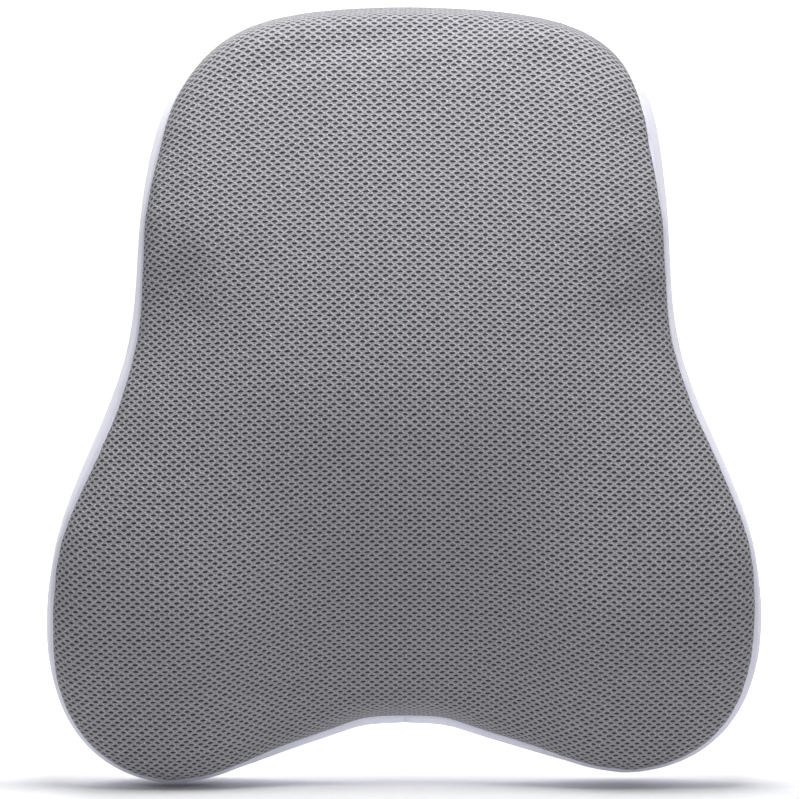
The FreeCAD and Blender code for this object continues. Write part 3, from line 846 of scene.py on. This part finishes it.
def rounded_route(corners, radii):
    """Points close together along straight runs that are joined by arcs of these radii."""
    corners = [Vector(corner) for corner in corners]
    bends = [corners[0]]
    for before, corner, after, radius in zip(corners, corners[1:], corners[2:], radii):
        into = (corner - before).normalized()
        away = (after - corner).normalized()
        turn = into.angle(away)
        inward = (away - into * into.dot(away)).normalized()
        start = corner - into * radius * math.tan(turn / 2)
        for step in range(arc_steps + 1):
            swing = turn * step / arc_steps
            bends.append(start + radius * (into * math.sin(swing) + inward * (1 - math.cos(swing))))
    bends.append(corners[-1])
    route = [bends[0]]
    for bend in bends[1:]:
        last = route[-1]
        steps = round((bend - last).length / webbing_rows + row_rounding)
        route += [last.lerp(bend, (step + 1) / steps) for step in range(steps)]
    return route


def webbing(name, corners, radii, middle_z):
    """A length of webbing whose middle follows these corners, given in X and Y."""
    route = rounded_route(corners, radii)
    along = [0.0]
    for first, second in zip(route, route[1:]):
        along.append(along[-1] + (second - first).length)
    bm = bmesh.new()
    rows = len(route) - 1
    bmesh.ops.create_grid(bm, x_segments=rows, y_segments=webbing_picks, size=0.5)
    woven = bm.loops.layers.uv.new("woven")
    for face in bm.faces:
        for loop in face.loops:
            row = round((loop.vert.co.x + 0.5) * rows)
            loop[woven].uv = (along[row], loop.vert.co.y * webbing_width)
    for vert in bm.verts:
        row = round((vert.co.x + 0.5) * rows)
        vert.co = (*route[row], middle_z + vert.co.y * webbing_width)
    mesh = bpy.data.meshes.new(name)
    bm.to_mesh(mesh)
    bm.free()
    mesh.shade_smooth()
    made = new_object(name, mesh)
    cloth = made.modifiers.new("cloth", "SOLIDIFY")
    cloth.thickness = webbing_thickness
    cloth.offset = 0.0
    selvedge = made.modifiers.new("selvedge", "BEVEL")
    selvedge.width = webbing_edge
    selvedge.segments = 2
    selvedge.limit_method = "ANGLE"
    selvedge.angle_limit = math.radians(60)
    made.data.materials.append(ribbed.material)
    return made


ribbed = Finish("black_elastic_webbing", (0.02, 0.02, 0.021), 0.75, {"Sheen Weight": 0.2}, uv=True)
along_web, across_web, spare_axis = ribbed.axes()
rib = (across_web / rib_pitch).wave()
pick = (along_web / pick_pitch + rib * 0.5).wave()
fluff = ribbed.noise(1500.0, 1.0)
weave = rib * (pick * 0.6 + 0.4)
raised_yarn = weave * (fluff * 0.6 + 0.4)
ribbed.feed(
    Base_Color=ribbed.mixed(raised_yarn, (0.009, 0.009, 0.0095), (0.05, 0.05, 0.053)),
    Roughness=0.68 + fluff * 0.2,
    Normal=ribbed.relief(weave, 0.0003),
)
for place in ("upper", "lower"):
    low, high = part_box("strap_" + place + "_long")
    strap_z = (low.z + high.z) / 2
    half = high.x + half_beyond_box
    anchor = [
        (half - anchor_inset, -anchor_depth),
        (half - bow_inset, bow_height),
        (half - run_inset, outer_line),
    ]
    short_route = [(-x, y) for x, y in anchor]
    short_route += [(socket_bar, outer_line), (socket_bar, inner_line)]
    short_route += [(lap_start, inner_line), (lap_meets, lap_line), (lap_end, lap_line)]
    short_radii = (*anchor_radii, bar_radius, bar_radius, lap_radius, lap_radius)
    short = webbing("short_strap_" + place, short_route, short_radii, strap_z)
    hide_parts("strap_" + place + "_short")
    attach(short, "cushion")

    run_route = [*anchor, (plug_clear, outer_line)]
    run = webbing("long_strap_" + place, run_route, anchor_radii, strap_z)
    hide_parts("strap_" + place + "_long")
    slack_start = (half - run_inset, outer_line, strap_z)
    slack_end = (plug_clear, outer_line, strap_z)
    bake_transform(run, "cushion", place + "_plug", start=slack_start, end=slack_end)

    loop_route = [(plug_clear, outer_line), (plug_bar, outer_line), (plug_bar, inner_line)]
    loop_route += [(slide_far, inner_line), (slide_far, lap_line), (slide_near, lap_line)]
    loop_radii = (bar_radius, bar_radius, slide_radius, slide_radius)
    loop = webbing("strap_loop_" + place, loop_route, loop_radii, strap_z)
    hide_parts("strap_" + place + "_long")
    loop_start = (plug_bar + loop_bend_from, inner_line, strap_z)
    loop_end = (slide_near + loop_bend_to, inner_line, strap_z)
    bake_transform(loop, place + "_plug", place + "_adjuster", start=loop_start, end=loop_end)

# ---------------------------------------------------------------- buckles and slides
# Side-release buckles and three-bar slides, moulded in black acetal with a fine spark grain. The
# plug's latch arms are polished where they rub in the socket.
for place in ("upper", "lower"):
    for moulding, shine in (("socket", 0.46), ("plug", 0.42), ("arms", 0.34), ("slide", 0.46)):
        acetal = Finish("acetal_" + moulding + "_" + place, (0.018, 0.018, 0.019), shine)
        spark = acetal.noise(2600.0, 2.0)
        flow = acetal.noise(60.0, 3.0, (0.4, 1.0, 1.0))
        scuff = acetal.noise(240.0, 4.0, (0.15, 1.0, 1.0)).ramp(0.62, 0.75)
        acetal_tone = acetal.mixed(flow, (0.014, 0.014, 0.015), (0.024, 0.024, 0.026))
        acetal.feed(
            Base_Color=acetal.mixed(scuff * 0.5, acetal_tone, (0.06, 0.06, 0.062)),
            Roughness=shine + spark * 0.12 - scuff * 0.08,
            Normal=acetal.relief(spark, 0.00006),
        )
        node = "adjuster_" + place if moulding == "slide" else "buckle_" + place + "_" + moulding
        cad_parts[node].material_slots[0].material = acetal.material

# ---------------------------------------------------------------- zip
# A coil zip across the back: two woven tapes, each with a nylon coil sewn to its edge, closed by
# a coated metal slider with a flat pull, and stopped at both ends by crimped metal.
coil_pitch = 0.0015
tooth_size = (0.00066, 0.0016, 0.0037)
tooth_rounding = 0.00024
coil_cord = 0.0007
tape_thickness = 0.0007
tape_columns = 60
tape_rows = 6
tape_ripple = 0.00012
ripple_rate = 40.0
chevron_width = 0.004
twill_pitch = 0.0012

zip_coil = Finish("zip_nylon", (0.03, 0.03, 0.032), 0.38)
draw_marks = zip_coil.noise(900.0, 2.0, (1.0, 1.0, 0.2))
zip_coil.feed(
    Base_Color=zip_coil.mixed(draw_marks, (0.02, 0.02, 0.022), (0.045, 0.045, 0.048)),
    Roughness=0.32 + draw_marks * 0.2,
)
zip_woven = Finish("zip_tape_weave", (0.03, 0.03, 0.032), 0.8, {"Sheen Weight": 0.15})
x, y, z = zip_woven.axes()
chevron = abs((z / chevron_width).fraction() - 0.5) * 2.0
twill = (x / twill_pitch + chevron * 1.6).wave()
tape_fluff = zip_woven.noise(1200.0, 1.0)
zip_woven.feed(
    Base_Color=zip_woven.mixed(twill, (0.014, 0.014, 0.015), (0.045, 0.045, 0.048)),
    Roughness=0.74 + tape_fluff * 0.16,
    Normal=zip_woven.relief(twill * 0.8 + tape_fluff * 0.2, 0.00025),
)


def rounded_blocks(name, blocks, rounding):
    """Many small rounded blocks in one mesh, each given by its centre, size and turn about Y."""
    bm = bmesh.new()
    for centre, size, turn in blocks:
        turned = Matrix.Translation(centre) @ Matrix.Rotation(turn, 4, "Y")
        bmesh.ops.create_cube(bm, size=1.0, matrix=turned @ Matrix.Diagonal((*size, 1.0)))
    corner = {"affect": "EDGES", "segments": 1, "profile": 0.5, "material": -1}
    bmesh.ops.bevel(bm, geom=bm.edges, offset=rounding, **corner)
    mesh = bpy.data.meshes.new(name)
    bm.to_mesh(mesh)
    bm.free()
    mesh.shade_smooth()
    return new_object(name, mesh)


for place, lean in (("upper", 1), ("lower", -1)):
    low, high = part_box("zip_coil_" + place)
    coil_y = (low.y + high.y) / 2
    root_z = high.z if lean > 0 else low.z
    tooth_z = root_z - lean * tooth_size[2] / 2
    first_x = low.x + coil_pitch * (0.5 if lean > 0 else 1.0)
    teeth = []
    for turn in range(int((high.x - low.x) / coil_pitch) - 1):
        teeth.append(((first_x + turn * coil_pitch, coil_y, tooth_z), tooth_size, 0))
    cord_size = (high.x - low.x, coil_cord, coil_cord)
    cord_place = (0, coil_y + tooth_size[1] / 2, root_z - lean * coil_cord)
    coil = rounded_blocks("coil_" + place, [*teeth, (cord_place, cord_size, 0)], tooth_rounding)
    coil.data.materials.append(zip_coil.material)
    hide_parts("zip_coil_" + place)
    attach(coil, "cushion")

    low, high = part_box("zip_tape_" + place)
    tape_middle = (low + high) / 2
    bm = bmesh.new()
    bmesh.ops.create_grid(bm, x_segments=tape_columns, y_segments=tape_rows, size=0.5)
    for vert in bm.verts:
        wave = math.sin(vert.co.x * ripple_rate + lean)
        ripple = tape_ripple * wave * (0.5 + vert.co.y * lean)
        vert.co.z = vert.co.y * (high.z - low.z) + tape_middle.z
        vert.co.x = vert.co.x * (high.x - low.x)
        vert.co.y = tape_middle.y + ripple
    mesh = bpy.data.meshes.new("tape_" + place)
    bm.to_mesh(mesh)
    bm.free()
    mesh.shade_smooth()
    tape = new_object("tape_" + place, mesh)
    woven_cloth = tape.modifiers.new("cloth", "SOLIDIFY")
    woven_cloth.thickness = tape_thickness
    woven_cloth.offset = 0.0
    mesh.materials.append(zip_woven.material)
    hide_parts("zip_tape_" + place)
    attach(tape, "cushion")

for node in ("zip_slider", "zip_pull", "zip_stops"):
    coated = Finish(node + "_metal", (0.05, 0.05, 0.053), 0.36, {"Metallic": 0.7})
    orange_peel = coated.noise(700.0, 2.0)
    rubbed = coated.noise(260.0, 4.0).ramp(0.6, 0.72)
    coated.feed(
        Base_Color=coated.mixed(rubbed * 0.6, (0.045, 0.045, 0.048), (0.42, 0.41, 0.4)),
        Roughness=0.3 + orange_peel * 0.14,
        Metallic=0.6 + rubbed * 0.4,
        Normal=coated.relief(orange_peel, 0.00004),
    )
    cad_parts[node].material_slots[0].material = coated.material

# ---------------------------------------------------------------- care label
# A blank strip of white satin ribbon, sewn to the back below the zip along its top edge and free
# to curl at its foot.
label_columns = 24
label_rows = 16
label_curl = 0.0012
label_thickness = 0.00025
curl_evenness = 0.6
curl_turns = 5.0
satin_pitch = (0.0011, 0.00045)
low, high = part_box("care_label")
bm = bmesh.new()
bmesh.ops.create_grid(bm, x_segments=label_columns, y_segments=label_rows, size=0.5)
for vert in bm.verts:
    hang = 0.5 - vert.co.y
    uneven = curl_evenness + (1 - curl_evenness) * math.cos(vert.co.x * curl_turns + hang)
    curl = label_curl * hang**2 * uneven
    vert.co.z = vert.co.y * (high.z - low.z) + (low.z + high.z) / 2
    vert.co.x = vert.co.x * (high.x - low.x) + (low.x + high.x) / 2
    vert.co.y = (low.y + high.y) / 2 + curl
label_mesh = bpy.data.meshes.new("label_ribbon")
bm.to_mesh(label_mesh)
bm.free()
label_mesh.shade_smooth()
label = new_object("label_ribbon", label_mesh)
ribbon = label.modifiers.new("cloth", "SOLIDIFY")
ribbon.thickness = label_thickness
ribbon.offset = 0.0
satin = Finish("label_satin_ribbon", (0.66, 0.66, 0.64), 0.34, {"Sheen Weight": 0.2})
x, y, z = satin.axes()
floats = (z / satin_pitch[1] + (x / satin_pitch[0]).wave() * 0.3).wave()
satin.feed(
    Base_Color=satin.mixed(floats, (0.58, 0.58, 0.56), (0.7, 0.7, 0.68)),
    Roughness=0.3 + floats * 0.12,
    Normal=satin.relief(floats, 0.00006),
)
label_mesh.materials.append(satin.material)
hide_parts("care_label")
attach(label, "cushion")

# ---------------------------------------------------------------- stitching
# Bonded polyester thread: bar tacks that hold the short straps' laps, a lockstitched row all round
# the zip's slot, and one across the label's head.
stitch_length = 0.0027
stitch_gap = 0.0009
thread_width = 0.0005
thread_rounding = 0.00012
twist_pitch = 0.0006
row_beyond_slot = 0.003
behind_cover = 0.02
tack_length = 0.003
tack_pitch = 0.00055
tack_slant = math.radians(9)
label_stitch_drop = 0.0015


def stitched_row(start, end):
    """Stitches along a line on the cover's back, from one (x, z) to another."""
    start, end = Vector(start), Vector(end)
    count = round((end - start).length / (stitch_length + stitch_gap))
    turn = -math.atan2(end.y - start.y, end.x - start.x)
    row = []
    for step in range(count):
        at_x, at_z = start.lerp(end, (step + 0.5) / count)
        hit = cover_tree.ray_cast(Vector((at_x, behind_cover, at_z)), Vector((0, -1, 0)))[0]
        row.append(((at_x, hit.y, at_z), (stitch_length, thread_width, thread_width), turn))
    return row


def thread_piece(name, stitches, tone):
    """The stitches as one piece in polyester thread, with its fine twist."""
    made = rounded_blocks(name, stitches, thread_rounding)
    thread = Finish(name + "_thread", tone, 0.55, {"Sheen Weight": 0.2})
    x, y, z = thread.axes()
    twist = ((x + z) / twist_pitch).wave()
    darker = [part * 0.6 for part in tone]
    thread.feed(
        Base_Color=thread.mixed(twist, darker, tone),
        Roughness=0.5 + twist * 0.15,
        Normal=thread.relief(twist, 0.00008),
    )
    made.data.materials.append(thread.material)
    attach(made, "cushion")
    return made


low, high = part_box("strap_stitching")
tack_y = (low.y + high.y) / 2 - thread_width / 4
strap_low, strap_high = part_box("strap_upper_short")
tack_half = high.z - (strap_low.z + strap_high.z) / 2
thread_size = (tack_length, thread_width, thread_width)
tacks = []
for place in ("upper", "lower"):
    strap_low, strap_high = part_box("strap_" + place + "_short")
    strap_z = (strap_low.z + strap_high.z) / 2
    for tack_x in (low.x + tack_length / 2, high.x - tack_length / 2):
        for step in range(int(2 * tack_half / tack_pitch)):
            tack_z = strap_z - tack_half + (step + 0.5) * tack_pitch
            tacks.append(((tack_x, tack_y, tack_z), thread_size, tack_slant * (-1) ** step))
bar_tacks = thread_piece("bar_tacks", tacks, (0.035, 0.035, 0.037))
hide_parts("strap_stitching")

row_x = slot_half_length + row_beyond_slot
row_high = zip_level + slot_half_height + row_beyond_slot
row_low = zip_level - slot_half_height - row_beyond_slot
slot_rows = stitched_row((-row_x, row_high), (row_x, row_high))
slot_rows += stitched_row((-row_x, row_low), (row_x, row_low))
for side in (-1, 1):
    slot_rows += stitched_row((side * row_x, row_low), (side * row_x, row_high))
thread_piece("zip_topstitch", slot_rows, (0.2, 0.2, 0.21))

low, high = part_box("care_label")
label_rows_z = high.z - label_stitch_drop
label_row = []
for (at_x, at_y, at_z), size, turn in stitched_row((low.x, label_rows_z), (high.x, label_rows_z)):
    label_row.append(((at_x, high.y, at_z), size, turn))
thread_piece("label_topstitch", label_row, (0.5, 0.5, 0.49))
